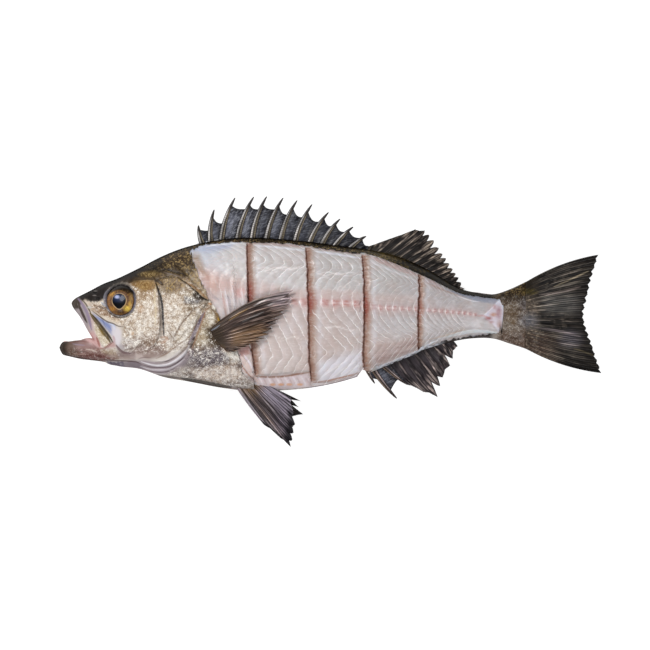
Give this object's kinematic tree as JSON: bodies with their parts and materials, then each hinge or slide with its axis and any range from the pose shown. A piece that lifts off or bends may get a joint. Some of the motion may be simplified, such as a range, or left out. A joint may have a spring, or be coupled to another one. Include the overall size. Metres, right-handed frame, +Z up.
{
  "type": "whole raw fish",
  "caption": "Whole raw fish lying on its side with its mouth open and fins spread, the upper flank skinned and scored with deep cuts.",
  "frame": {"origin": "bottom centre of the fish's box, on the surface it lies on", "axes": "+X from the head to the tail, +Y from the belly to the back, +Z up from the right flank to the left"},
  "size_m": [0.464, 0.2134, 0.064],
  "materials": {
    "skin": "wet, scaly, olive-brown and silver",
    "flesh": "wet, translucent, fine lines",
    "eye": "wet, clear over a gold iris",
    "dark_fin": "wet, dark webs and brown rays",
    "brown_fin": "wet, thin, golden-brown rays"
  },
  "bodies": {
    "root": {"body": "skin", "left_fillet": "flesh", "left_eye": "eye", "right_eye": "eye", "spiny_back_fin": "dark_fin", "soft_back_fin": "dark_fin", "anal_fin": "dark_fin", "tail_fin": "dark_fin", "left_pectoral_fin": "brown_fin", "right_pectoral_fin": "brown_fin", "left_pelvic_fin": "brown_fin", "right_pelvic_fin": "brown_fin"}
  },
  "joints": []
}
